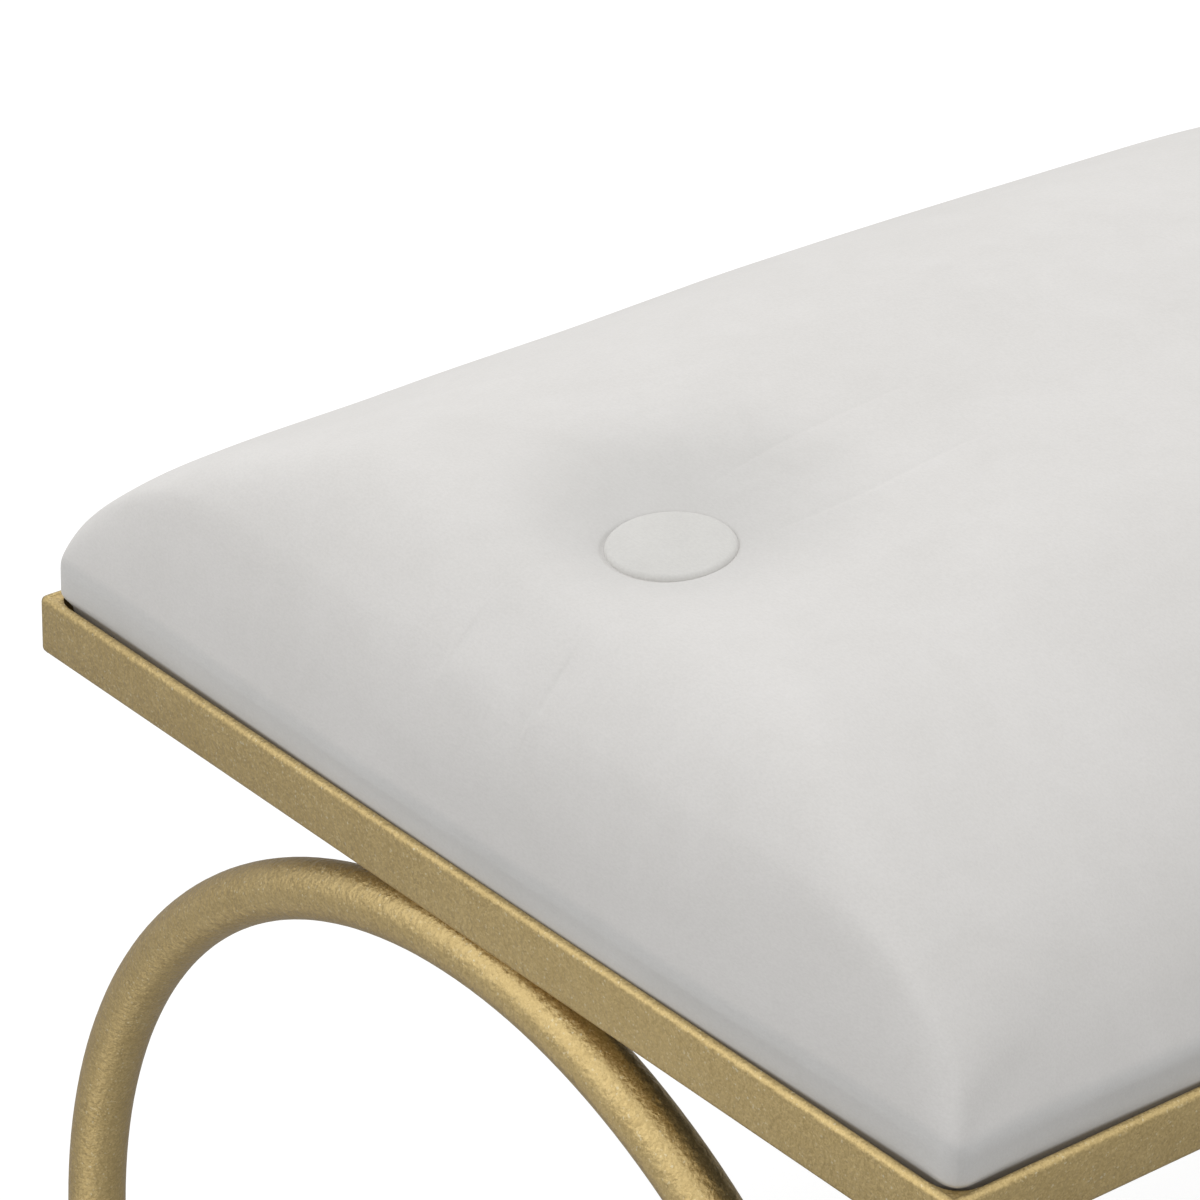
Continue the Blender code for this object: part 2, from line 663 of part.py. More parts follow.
def main():
    clear_scene()
    gold_paint = make_material("gold_paint", (0.36, 0.28, 0.15), 0.42, 0.75)
    cream_velvet = make_material("cream_velvet", (0.70, 0.68, 0.64), 0.95)
    wadding = make_material("white_wadding", (0.80, 0.80, 0.78), 1.0)
    foam = make_material("foam", (0.78, 0.72, 0.50), 1.0)
    plywood = make_material("plywood", (0.50, 0.36, 0.21), 0.7)
    black_cloth = make_material("black_cloth", (0.02, 0.02, 0.02), 0.95)
    twine = make_material("twine", (0.62, 0.58, 0.48), 0.9)
    zinc = make_material("zinc", (0.55, 0.55, 0.53), 0.35, 1.0)
    black_plastic = make_material("black_plastic", (0.02, 0.02, 0.02), 0.5)

    screw_cutter = make_cutter(
        "screw_holes", screw_places().values(), SCREW_HOLE_RADIUS,
        RAIL_BOTTOM - CUT_OVERRUN, SCREW_TIP + SEAT_GAP, SCREW_SIDES,
    )
    twine_cutter = make_cutter(
        "twine_holes", [(end * BUTTON_X, 0) for end in ENDS.values()], TWINE_HOLE_RADIUS,
        BOARD_BOTTOM - CUT_OVERRUN, dimple_floor_height() + CUT_OVERRUN, TWINE_SIDES,
    )
    make_rails(gold_paint, screw_cutter)
    make_corner_welds(gold_paint)
    make_arch_legs(gold_paint)
    make_crown_welds(gold_paint)
    make_foot_glides(black_plastic)
    make_seat_board(plywood, screw_cutter, twine_cutter)
    make_foam(foam, twine_cutter)
    make_wadding(wadding, twine_cutter)
    make_seat_cover(cream_velvet, screw_cutter, twine_cutter)
    make_dust_cover(black_cloth)
    make_buttons(cream_velvet, twine, zinc)
    make_screws(zinc)


main()
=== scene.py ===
# %% [markdown]
# # A padded stool on two arched legs
# A cream velvet cushion with two covered buttons sits in a gold frame of angle steel.
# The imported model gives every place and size. These cells dress it: each new piece is made
# where its solid is, and the solids that already look right only get a better finish.

import math

import bmesh
import bpy
from mathutils import Matrix, Vector


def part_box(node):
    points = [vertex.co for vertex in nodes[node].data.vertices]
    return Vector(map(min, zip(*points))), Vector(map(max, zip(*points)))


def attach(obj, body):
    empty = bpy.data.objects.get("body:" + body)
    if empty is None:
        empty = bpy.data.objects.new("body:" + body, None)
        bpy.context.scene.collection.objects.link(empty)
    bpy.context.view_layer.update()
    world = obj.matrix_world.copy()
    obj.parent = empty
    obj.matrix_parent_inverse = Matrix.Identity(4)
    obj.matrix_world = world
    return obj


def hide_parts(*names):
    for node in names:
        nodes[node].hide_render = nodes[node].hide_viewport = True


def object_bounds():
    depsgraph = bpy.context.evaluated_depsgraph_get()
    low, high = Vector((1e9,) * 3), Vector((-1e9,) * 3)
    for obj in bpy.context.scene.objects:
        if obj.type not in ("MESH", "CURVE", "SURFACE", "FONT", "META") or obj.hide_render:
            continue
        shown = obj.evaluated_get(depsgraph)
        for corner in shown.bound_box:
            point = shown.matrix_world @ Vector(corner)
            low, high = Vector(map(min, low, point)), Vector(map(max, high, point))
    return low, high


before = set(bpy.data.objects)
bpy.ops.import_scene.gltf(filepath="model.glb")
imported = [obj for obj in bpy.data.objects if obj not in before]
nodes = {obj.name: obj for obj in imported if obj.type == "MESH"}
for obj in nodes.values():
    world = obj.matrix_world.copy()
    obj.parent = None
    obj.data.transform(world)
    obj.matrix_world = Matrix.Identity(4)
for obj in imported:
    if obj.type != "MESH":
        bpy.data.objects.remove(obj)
cad_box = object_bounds()
corners = [tuple(round(value, 4) for value in corner) for corner in cad_box]
print("nodes:", len(nodes), "lowest and highest corner:", corners)

# %% [markdown]
# The camera stands in front of the stool's left corner and looks down on it with a long lens,
# so that the two sides of the frame run almost parallel. Three directions turn the camera:
# its right, its up, and the way back from the picture to the lens.

# %% Camera
camera_data = bpy.data.cameras.new("camera")
camera_data.lens = 161.44
camera_data.sensor_width = 36
camera_data.clip_start = 0.05
camera_data.clip_end = 100
camera = bpy.data.objects.new("camera", camera_data)
bpy.context.scene.collection.objects.link(camera)
camera_right = Vector((0.776627, -0.629528, 0.023331))
camera_up = Vector((0.276744, 0.374213, 0.885086))
camera_back = Vector((-0.565918, -0.680925, 0.464842))
camera_turn = Matrix((camera_right, camera_up, camera_back)).transposed().to_4x4()
camera_place = (-1.10027, -1.04649, 1.14915)
camera.matrix_world = Matrix.Translation(camera_place) @ camera_turn
bpy.context.scene.camera = camera
print("lens:", round(camera_data.lens, 2), "mm, distance:", round(camera.location.length, 3), "m")

# %% [markdown]
# A product photo like this one is lit by big soft lamps over a white table. An even white sky
# gives most of the light. One large lamp above and behind the seat makes the top paler than
# the sides, one beside it lights the slope over the near rail, and a small one gives the left
# leg its highlight. The view transform is Standard, so that a colour comes out as written.

# %% Light and floor
bpy.context.scene.view_settings.view_transform = "Standard"
world = bpy.data.worlds.new("white_room")
world.use_nodes = True
bpy.context.scene.world = world
world_nodes = world.node_tree.nodes
world_links = world.node_tree.links
sky = world_nodes["Background"]
sky.inputs["Color"].default_value = (1, 1, 1, 1)
sky_place = world_nodes.new("ShaderNodeTexCoord")
sky_parts = world_nodes.new("ShaderNodeSeparateXYZ")
sky_level = world_nodes.new("ShaderNodeValToRGB")
sky_stops = sky_level.color_ramp.elements
sky_stops.new(0.5)
sky_stops.new(0.5)
sky_levels = ((0.0, 0.42), (0.14, 0.62), (0.38, 0.90), (1.0, 0.95))
for stop, (height, level) in zip(sky_stops, sky_levels):
    stop.position = height
    stop.color = (level, level, level, 1)
world_links.new(sky_place.outputs["Generated"], sky_parts.inputs["Vector"])
world_links.new(sky_parts.outputs["Z"], sky_level.inputs["Fac"])
world_links.new(sky_level.outputs["Color"], sky.inputs["Color"])
seen_sky = world_nodes.new("ShaderNodeBackground")
seen_sky.inputs["Strength"].default_value = 1
world_rays = world_nodes.new("ShaderNodeLightPath")
world_mix = world_nodes.new("ShaderNodeMixShader")
world_links.new(world_rays.outputs["Is Camera Ray"], world_mix.inputs["Fac"])
world_links.new(sky.outputs["Background"], world_mix.inputs[1])
world_links.new(seen_sky.outputs["Background"], world_mix.inputs[2])
world_links.new(world_mix.outputs["Shader"], world_nodes["World Output"].inputs["Surface"])


def soft_lamp(name, place, target, size, power):
    """A square area lamp that looks at a point."""
    data = bpy.data.lights.new(name, "AREA")
    data.shape = "SQUARE"
    data.size = size
    data.energy = power
    lamp = bpy.data.objects.new(name, data)
    bpy.context.scene.collection.objects.link(lamp)
    lamp.location = place
    lamp.rotation_euler = (Vector(target) - Vector(place)).to_track_quat("-Z", "Y").to_euler()
    return lamp


key_lamp = soft_lamp("key_lamp", (0.6, 1.5, 2.4), (0, 0, 0.4), 1.6, 8)
side_lamp = soft_lamp("side_lamp", (-1.7, 1.0, 1.15), (-0.1, 0, 0.35), 1.8, 6.4)
card_lamp = soft_lamp("card_lamp", (-0.46, 0.152, 0.10), (-0.27, 0.2, 0.2), 0.16, 0.052)
floor_reach = 20
floor_body = bmesh.new()
bmesh.ops.create_grid(floor_body, x_segments=1, y_segments=1, size=floor_reach)
floor_mesh = bpy.data.meshes.new("floor")
floor_body.to_mesh(floor_mesh)
floor_body.free()
floor = bpy.data.objects.new("floor", floor_mesh)
bpy.context.scene.collection.objects.link(floor)
lamps = (key_lamp, side_lamp, card_lamp)
print("lamp power:", [round(lamp.data.energy, 3) for lamp in lamps])

# %% [markdown]
# Materials are small networks of nodes. A few helpers keep them short. They make a material,
# add and join nodes, lay a pattern on a piece, colour it with a ramp, mix two colours and add
# bumps.

# %% Material helpers
def new_finish(name, colour, roughness, metallic=0.0):
    """A Principled material; returns it with its shader."""
    finish = bpy.data.materials.new(name)
    finish.use_nodes = True
    shader = finish.node_tree.nodes["Principled BSDF"]
    shader.inputs["Base Color"].default_value = (*colour, 1)
    shader.inputs["Roughness"].default_value = roughness
    shader.inputs["Metallic"].default_value = metallic
    return finish, shader


def add_node(finish, kind, **values):
    """A node of a finish, with the inputs or settings that are named."""
    node = finish.node_tree.nodes.new("ShaderNode" + kind)
    for key, value in values.items():
        label = key.replace("_", " ").title()
        if label in node.inputs:
            node.inputs[label].default_value = value
        else:
            setattr(node, key, value)
    return node


def join(finish, source, output, target, place):
    """Join an output of one node to an input of another."""
    finish.node_tree.links.new(source.outputs[output], target.inputs[place])


def pattern(finish, kind, stretch=(1, 1, 1), **values):
    """A texture on Object coordinates, so that it stays on its piece."""
    where = add_node(finish, "TexCoord")
    mapping = add_node(finish, "Mapping")
    mapping.inputs["Scale"].default_value = stretch
    texture = add_node(finish, kind, **values)
    join(finish, where, "Object", mapping, "Vector")
    join(finish, mapping, "Vector", texture, "Vector")
    return texture


def ramp(finish, source, output, stops):
    """A colour ramp on a texture: stops are (place, colour)."""
    node = add_node(finish, "ValToRGB")
    elements = node.color_ramp.elements
    while len(elements) < len(stops):
        elements.new(0.5)
    for element, (place, colour) in zip(elements, stops):
        element.position = place
        element.color = (*colour, 1)
    join(finish, source, output, node, "Fac")
    return node


def blend_colours(finish, share, first, second):
    """A mix of two colour outputs, with so large a share of the second."""
    node = add_node(finish, "Mix", data_type="RGBA")
    node.inputs[0].default_value = share
    finish.node_tree.links.new(first, node.inputs[6])
    finish.node_tree.links.new(second, node.inputs[7])
    return node


def multiply_colours(finish, first, second):
    """One colour output darkened by another, or by a plain colour; returns the node."""
    node = add_node(finish, "Mix", data_type="RGBA", blend_type="MULTIPLY")
    node.inputs[0].default_value = 1
    finish.node_tree.links.new(first, node.inputs[6])
    if isinstance(second, tuple):
        node.inputs[7].default_value = (*second, 1)
    else:
        finish.node_tree.links.new(second, node.inputs[7])
    return node


def bumps(finish, shader, layers):
    """Bump nodes in a row: each layer is (node, output, strength, depth in metres)."""
    before = None
    for source, output, strength, depth in layers:
        bump = add_node(finish, "Bump")
        bump.inputs["Strength"].default_value = strength
        bump.inputs["Distance"].default_value = depth
        join(finish, source, output, bump, "Height")
        if before:
            join(finish, before, "Normal", bump, "Normal")
        before = bump
    join(finish, before, "Normal", shader, "Normal")


helpers = (new_finish, add_node, join, pattern, ramp, blend_colours, multiply_colours, bumps)
print("helpers:", [helper.__name__ for helper in helpers])

# %% [markdown]
# The floor is plain white. A little light of its own, only for rays that come straight from
# the camera or by way of metal, lifts it to the white of the photo and leaves the stool's shadow.

# %% Floor finish
floor_finish, floor_shader = new_finish("floor_white", (0.40, 0.40, 0.40), 0.9)
floor_shader.inputs["Specular IOR Level"].default_value = 0.1
floor_rays = add_node(floor_finish, "LightPath")
floor_in_metal = 0.15
floor_seen = add_node(floor_finish, "Math", operation="MULTIPLY_ADD")
floor_seen.inputs[1].default_value = floor_in_metal
join(floor_finish, floor_rays, "Is Glossy Ray", floor_seen, 0)
join(floor_finish, floor_rays, "Is Camera Ray", floor_seen, 2)
floor_glow = 0.68
floor_lift = add_node(floor_finish, "Math", operation="MULTIPLY")
floor_lift.inputs[1].default_value = floor_glow
join(floor_finish, floor_seen, "Value", floor_lift, 0)
floor_shader.inputs["Emission Color"].default_value = (1, 1, 1, 1)
join(floor_finish, floor_lift, "Value", floor_shader, "Emission Strength")
floor_mesh.materials.append(floor_finish)
print("floor finish:", floor_finish.name)

# %% [markdown]
# The frame is powder coated in champagne gold. The powder melts into a skin with a very fine
# orange peel, and metal flakes in it glitter as single bright or dark grains. Cells of half a
# millimetre stand for the flakes, and a slow noise keeps large faces from looking printed.

# %% Gold powder coat
gold, gold_shader = new_finish("gold_powder_coat", (0.74, 0.56, 0.265), 0.36, 0.88)
flakes = pattern(gold, "TexVoronoi", scale=1700.0)
flake_tone = ramp(gold, flakes, "Color", [
    (0.0, (0.49, 0.355, 0.15)), (0.55, (0.70, 0.53, 0.24)),
    (0.85, (0.85, 0.66, 0.32)), (1.0, (1.0, 0.97, 0.76)),
])
cloud = pattern(gold, "TexNoise", scale=90.0, detail=6.0, roughness=0.7)
cloud_tone = ramp(gold, cloud, "Fac", [(0.3, (0.64, 0.47, 0.205)), (0.7, (0.84, 0.65, 0.32))])
gold_tone = blend_colours(gold, 0.35, flake_tone.outputs["Color"], cloud_tone.outputs["Color"])
# Painted highlight and shade: the gold is paler where it faces the eye, darker where it turns
# away.
gold_facing = add_node(gold, "LayerWeight", blend=0.5)
gold_painted_light = ramp(gold, gold_facing, "Facing", [
    (0.0, (1.0, 1.0, 1.0)), (0.3, (0.84, 0.84, 0.84)),
    (0.5, (0.755, 0.755, 0.755)), (0.95, (0.56, 0.53, 0.50)),
])
gold_with_painted_light = multiply_colours(gold, gold_tone.outputs[2], gold_painted_light.outputs["Color"])
join(gold, gold_with_painted_light, 2, gold_shader, "Base Color")
gold_rough = add_node(gold, "MapRange")
gold_rough.inputs["To Min"].default_value = 0.30
gold_rough.inputs["To Max"].default_value = 0.52
join(gold, flakes, "Color", gold_rough, "Value")
join(gold, gold_rough, "Result", gold_shader, "Roughness")
peel = pattern(gold, "TexNoise", scale=520.0, detail=3.0)
bumps(gold, gold_shader, [(peel, "Fac", 0.8, 0.0006), (flakes, "Color", 0.40, 0.00012)])
print("gold tones:", len(flake_tone.color_ramp.elements))

# %% [markdown]
# Behind each button the velvet is drawn down into its dimple, and a soft dark patch of painted
# shade lies there, on the wall of the dimple that faces the camera; both spots sit on the same
# side of their buttons. The patch is a share of darkening that fades with the distance from a
# spot, and a little noise makes its outline wander.

# %% Painted shade behind the buttons
dimple_shade_spots = [(-0.176, 0.030, 0.455), (0.233, 0.030, 0.455)]
patch_reach = 0.072
patch_core = 0.012
patch_share = 0.85
patch_wander = 0.03


def paint_dimple_shade(velvet, tone, clouds):
    """Paint shade behind each button; returns the new colour output."""
    place = add_node(velvet, "TexCoord")
    wander = add_node(velvet, "VectorMath", operation="SCALE")
    wander.inputs["Scale"].default_value = patch_wander
    join(velvet, clouds, "Color", wander, 0)
    moved = add_node(velvet, "VectorMath", operation="ADD")
    join(velvet, place, "Object", moved, 0)
    join(velvet, wander, "Vector", moved, 1)
    nearest = None
    for spot in dimple_shade_spots:
        away = add_node(velvet, "VectorMath", operation="DISTANCE")
        away.inputs[1].default_value = spot
        join(velvet, moved, "Vector", away, 0)
        if nearest:
            closer = add_node(velvet, "Math", operation="MINIMUM")
            join(velvet, nearest, "Value", closer, 0)
            join(velvet, away, "Value", closer, 1)
            nearest = closer
        else:
            nearest = away
    share = add_node(velvet, "MapRange", interpolation_type="SMOOTHSTEP")
    share.inputs["From Min"].default_value = patch_reach
    share.inputs["From Max"].default_value = patch_core
    share.inputs["To Max"].default_value = patch_share
    join(velvet, nearest, "Value", share, "Value")
    # Painted shade: the velvet colour is darkened in the patch.
    shaded_patch = multiply_colours(velvet, tone, (0.83, 0.835, 0.835))
    join(velvet, share, "Result", shaded_patch, 0)
    return shaded_patch.outputs[2]


print("pressed patches:", len(dimple_shade_spots), "reach:", patch_reach)

# %% [markdown]
# Two bands of painted shade follow the height of the velvet. Just above the frame, under the
# soft ridge, the border is painted a little darker and cooler. Inside the frame little light
# comes in, and what does is coloured by the gold, so the velvet there is painted dark and warm.

# %% Painted shade at the border and inside the frame
frame_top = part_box("end_rail_left")[1].z
bands = (
    # painted shade on the border under the ridge
    (0.0160, 0.0120, (0.922, 0.932, 0.938)),
    # painted shade inside the frame, warmed by the gold
    (0.0005, -0.0010, (0.42, 0.37, 0.30)),
)


def shade_border(velvet, tone):
    """Paint shade on the border and on what lies inside the frame; returns the new colour output.
    """
    place = add_node(velvet, "TexCoord")
    parts = add_node(velvet, "SeparateXYZ")
    join(velvet, place, "Object", parts, 0)
    for start, full, colour in bands:
        share = add_node(velvet, "MapRange", interpolation_type="SMOOTHSTEP")
        share.inputs["From Min"].default_value = frame_top + start
        share.inputs["From Max"].default_value = frame_top + full
        join(velvet, parts, "Z", share, "Value")
        shaded = multiply_colours(velvet, tone, colour)
        join(velvet, share, "Result", shaded, 0)
        tone = shaded.outputs[2]
    return tone


print("bands of the border:", len(bands))

# %% [markdown]
# The cover is a short velvet. Its pile stands up from the cloth, so it scatters light at its
# edges, which Sheen gives, and it shows soft clouds where it was stroked one way or the other.
# Fine noise makes the pile and its tiny dots, and wide noise makes the clouds.

# %% Cream velvet
def velvet_finish(name, pale, deep, pressed=False):
    """Short cream pile: clouds of stroked pile over a fine nap."""
    velvet, shader = new_finish(name, pale, 0.92)
    shader.inputs["Specular IOR Level"].default_value = 0.12
    shader.inputs["Sheen Weight"].default_value = 0.30
    shader.inputs["Sheen Roughness"].default_value = 0.45
    shader.inputs["Sheen Tint"].default_value = (1.0, 0.985, 0.96, 1)
    clouds = pattern(velvet, "TexNoise", scale=17.0, detail=5.0, roughness=0.6, distortion=0.6)
    cloud_tones = ramp(velvet, clouds, "Fac", [(0.32, deep), (0.68, pale)])
    nap = pattern(
        velvet, "TexNoise", stretch=(1, 0.55, 1), scale=1500.0, detail=4.0, roughness=0.65,
    )
    deeper = tuple(0.9 * part for part in deep)
    nap_tones = ramp(velvet, nap, "Fac", [(0.34, deeper), (0.62, pale)])
    blots = pattern(velvet, "TexNoise", scale=70.0, detail=4.0, roughness=0.6, distortion=0.4)
    blot_tones = ramp(velvet, blots, "Fac", [(0.36, deep), (0.64, pale)])
    fine = blend_colours(velvet, 0.4, nap_tones.outputs["Color"], blot_tones.outputs["Color"])
    whole = blend_colours(velvet, 0.5, cloud_tones.outputs["Color"], fine.outputs[2])
    tone = whole.outputs[2]
    # Painted shade: dark patches behind the buttons and darker bands at the border and inside the
    # frame.
    if pressed:
        tone = shade_border(velvet, paint_dimple_shade(velvet, tone, clouds))
    velvet.node_tree.links.new(tone, shader.inputs["Base Color"])
    strokes = pattern(velvet, "TexNoise", stretch=(1, 0.45, 1), scale=150.0, detail=4.0)
    bumps(velvet, shader, [
        (clouds, "Fac", 0.30, 0.0016), (strokes, "Fac", 0.22, 0.0006), (nap, "Fac", 0.25, 0.00018),
    ])
    return velvet


cream_pale = (0.750, 0.735, 0.718)
cream_deep = (0.693, 0.678, 0.657)
cream_velvet = velvet_finish("cream_velvet", cream_pale, cream_deep, pressed=True)
print("velvet:", cream_velvet.name)

# %% [markdown]
# A new piece always ends the same way: its normals point outwards, its mesh becomes an object
# at the origin, it gets its finish, and it rides on the stool's one body.

# %% Placing a piece
def finish_piece(name, body, finish, replaced=(), angle=60):
    """Turn a bmesh into a piece of the stool; edges sharper than the angle stay sharp."""
    bmesh.ops.recalc_face_normals(body, faces=body.faces)
    mesh = bpy.data.meshes.new(name)
    body.to_mesh(mesh)
    body.free()
    mesh.materials.append(finish)
    mesh.shade_smooth()
    mesh.set_sharp_from_angle(angle=math.radians(angle))
    made = bpy.data.objects.new(name, mesh)
    bpy.context.scene.collection.objects.link(made)
    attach(made, "root")
    if replaced:
        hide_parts(*replaced)
    print(name, len(mesh.polygons), "faces")
    return made


def new_verts(result):
    """The points among what an operator made."""
    return [item for item in result["geom"] if isinstance(item, bmesh.types.BMVert)]


def new_edges(items):
    """The edges among what an operator made."""
    return [item for item in items if isinstance(item, bmesh.types.BMEdge)]


# %% [markdown]
# The four rails are welded at their mitres, ground flush and painted, so no joint shows.
# The scene therefore has one frame in place of the four solids. Its angle section is drawn
# round the seat: a rectangle is extruded again and again, each time to the next corner of the
# section, and the last loop is bridged to the first. Bevels then round the edges.

# %% Welded seat frame
rail_low, rail_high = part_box("end_rail_left")
half_x = -rail_low.x
half_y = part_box("side_rail_back")[1].y
rail_bottom = rail_low.z
rail_top = rail_high.z
flange = rail_high.x - rail_low.x
wall = 0.003
flange_top = rail_bottom + wall
edge_round = 0.0021
inner_round = 0.0008


def draw_loop(body, loop, reach_x, reach_y, height):
    """Extrude a rectangular loop and stretch it to a new reach and height; returns its edges."""
    old_x = max(vert.co.x for edge in loop for vert in edge.verts)
    old_y = max(vert.co.y for edge in loop for vert in edge.verts)
    drawn = bmesh.ops.extrude_edge_only(body, edges=loop)
    verts = new_verts(drawn)
    bmesh.ops.scale(body, vec=(reach_x / old_x, reach_y / old_y, 1), verts=verts)
    for vert in verts:
        vert.co.z = height
    return [edge for edge in new_edges(drawn["geom"]) if all(vert in verts for vert in edge.verts)]


body = bmesh.new()
bmesh.ops.create_grid(body, x_segments=1, y_segments=1, size=1)
bmesh.ops.scale(body, vec=(half_x, half_y, 1), verts=body.verts)
bmesh.ops.translate(body, vec=(0, 0, rail_bottom), verts=body.verts)
bmesh.ops.delete(body, geom=body.faces[:], context="FACES_ONLY")
first_loop = body.edges[:]
loop = first_loop
section = (
    (0, rail_top), (wall, rail_top), (wall, flange_top),
    (flange, flange_top), (flange, rail_bottom),
)
for inset, height in section:
    loop = draw_loop(body, loop, half_x - inset, half_y - inset, height)
bmesh.ops.bridge_loops(body, edges=first_loop + loop)
bmesh.ops.recalc_face_normals(body, faces=body.faces)
sharp = [edge for edge in body.edges if edge.calc_face_angle(0) > 0.5]


def on_outside(vert):
    """Whether a point lies on the outer faces of the rails."""
    return abs(vert.co.x) > half_x - 0.0001 or abs(vert.co.y) > half_y - 0.0001


outer = [edge for edge in sharp if all(on_outside(vert) for vert in edge.verts)]
inner = [edge for edge in sharp if edge not in outer]
bmesh.ops.bevel(
    body, geom=outer, offset=edge_round, segments=6, affect="EDGES", profile=0.5, material=-1,
)
inner = [edge for edge in inner if edge.is_valid]
bmesh.ops.bevel(
    body, geom=inner, offset=inner_round, segments=3, affect="EDGES", profile=0.5, material=-1,
)
print("edges rounded outside and inside:", len(outer), len(inner))

# %% [markdown]
# The paint and the weld fill the four inner corners of the frame. Each fill is an outline with
# one round side, raised from the flange to the top of the rail, and it reaches a little into
# the rails so that no line shows.

# %% Filled corners
fillet = 0.0092
into_rail = 0.0012
into_flange = 0.0002
centre_x = half_x - wall - fillet
centre_y = half_y - wall - fillet
arc = [math.pi / 2 * k / 8 for k in range(9)]
outline = [(half_x - wall + into_rail, half_y - wall + into_rail)]
outline += [
    (centre_x + fillet * math.cos(turn), centre_y + fillet * math.sin(turn)) for turn in arc
]
for side_x in (-1, 1):
    for side_y in (-1, 1):
        places = [(side_x * x, side_y * y, flange_top - into_flange) for x, y in outline]
        verts = [body.verts.new(place) for place in places]
        raised = bmesh.ops.extrude_face_region(body, geom=[body.faces.new(verts)])
        up = (0, 0, rail_top - flange_top - into_flange)
        bmesh.ops.translate(body, verts=new_verts(raised), vec=up)
rails = ["end_rail_left", "end_rail_right", "side_rail_front", "side_rail_back"]
finish_piece("welded_seat_frame", body, gold, rails)

# %% [markdown]
# Each pair of legs is one round tube: two straight lengths and a half circle over them. The
# real bend is smooth, so the scene's tube has many more steps than the solid. A circle is raised
# to the start of the bend, spun over the top and drawn down to the other foot. Solidify gives
# the wall.

# %% Arched legs
leg_low, leg_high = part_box("arch_leg_left")
tube = (leg_high.x - leg_low.x) / 2
leg_x = (leg_high.x + leg_low.x) / 2
arch_radius = leg_high.y - tube
spring = leg_high.z - tube - arch_radius
tube_wall = 0.0015
merge_distance = 0.00001


def bent_tube(name, x, replaced):
    """A tube up, over in a half circle and down."""
    body = bmesh.new()
    ring = bmesh.ops.create_circle(body, cap_ends=False, segments=40, radius=tube)
    bmesh.ops.translate(body, verts=ring["verts"], vec=(x, -arch_radius, leg_low.z))
    raised = bmesh.ops.extrude_edge_only(body, edges=body.edges[:])
    upper = new_verts(raised)
    bmesh.ops.translate(body, verts=upper, vec=(0, 0, spring - leg_low.z))
    rim = [edge for edge in new_edges(raised["geom"]) if all(vert in upper for vert in edge.verts)]
    bent = bmesh.ops.spin(
        body, geom=upper + rim, cent=(x, 0, spring), axis=(-1, 0, 0), angle=math.pi, steps=96,
        use_merge=False,
    )
    lowered = bmesh.ops.extrude_edge_only(body, edges=new_edges(bent["geom_last"]))
    bmesh.ops.translate(body, verts=new_verts(lowered), vec=(0, 0, leg_low.z - spring))
    bmesh.ops.remove_doubles(body, verts=body.verts, dist=merge_distance)
    leg = finish_piece(name, body, gold, [replaced])
    wall_layer = leg.modifiers.new("tube wall", "SOLIDIFY")
    wall_layer.thickness = tube_wall
    wall_layer.offset = -1


bent_tube("bent_tube_left", leg_x, "arch_leg_left")
bent_tube("bent_tube_right", -leg_x, "arch_leg_right")

# %% [markdown]
# The cushion is a crowned form. Its top follows two shoulders, a steep one at each end and a
# long soft one at each side. One function gives the height of the velvet before it is buttoned.
# A shallow hollow runs across under each button, and the filling is a little uneven at the back.

# %% Form of the cushion
cover_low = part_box("seat_cover")[0]
cushion_room = 0.0030
cushion_x = half_x - wall - cushion_room
cushion_y = half_y - wall - cushion_room
side_rise = 0.0138
edge_rise = 0.0040
edge_reach = 0.009
cushion_corner = 0.006
crown_rise = 0.0958
long_swell = 0.0098
end_reach, end_power = 0.0615, 2.45
side_reach, side_power = 0.1292, 1.559
corner_power = 3.446
button_low, button_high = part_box("tuft_button_left")
button_x = -(button_low.x + button_high.x) / 2
button_radius = (button_high.x - button_low.x) / 2
hollow_depth = 0.0068
hollow_length = 0.050
hollow_width = 0.165
back_start = -0.02
back_length = 0.12
swells = ((-0.0026, -0.115, 0.042), (0.0015, -0.222, 0.026), (0.0020, 0.160, 0.045))


def shoulder(inset, reach, power):
    """Share of the full height at an inset from a side."""
    away = max(0.0, 1 - inset / reach)
    return (1 - away**power)**(1 / power)


def edge_inset(x, y):
    """Distance from the outline of the cushion, which has round corners."""
    inset_x = cushion_x - abs(x)
    inset_y = cushion_y - abs(y)
    if inset_x < cushion_corner and inset_y < cushion_corner:
        from_centre = math.hypot(cushion_corner - inset_x, cushion_corner - inset_y)
        return max(0.0, cushion_corner - from_centre)
    return min(inset_x, inset_y)


def soft_share(share):
    """A share held between 0 and 1, with a soft start and a soft end."""
    share = min(1.0, max(0.0, share))
    return share * share * (3 - 2 * share)


def unevenness(x, y):
    """Soft hollows and swells of the hand-laid filling along the back half."""
    back = soft_share((y - back_start) / back_length)
    return back * sum(rise * math.exp(-((x - place) / width)**2) for rise, place, width in swells)


def free_height(x, y):
    """Top of the velvet before the buttons draw it down."""
    edge = shoulder(edge_inset(x, y), edge_reach, 2)
    along = shoulder(cushion_x - abs(x), end_reach, end_power)
    across = shoulder(cushion_y - abs(y), side_reach, side_power)
    lack_x = (1 - along)**corner_power
    lack_y = (1 - across)**corner_power
    full = 1 - (lack_x + lack_y - lack_x * lack_y)**(1 / corner_power)
    rise = crown_rise - side_rise - long_swell * (x / cushion_x)**2
    from_button = (abs(x) - button_x) / hollow_length
    hollow = hollow_depth * math.exp(-from_button**2 - (y / hollow_width)**4)
    crown = (rise - hollow + unevenness(x, y)) * full * math.sqrt(edge)
    return rail_top + side_rise - edge_rise * (1 - edge) + crown


print("crown above the frame:", round(free_height(0, 0) - rail_top, 4))

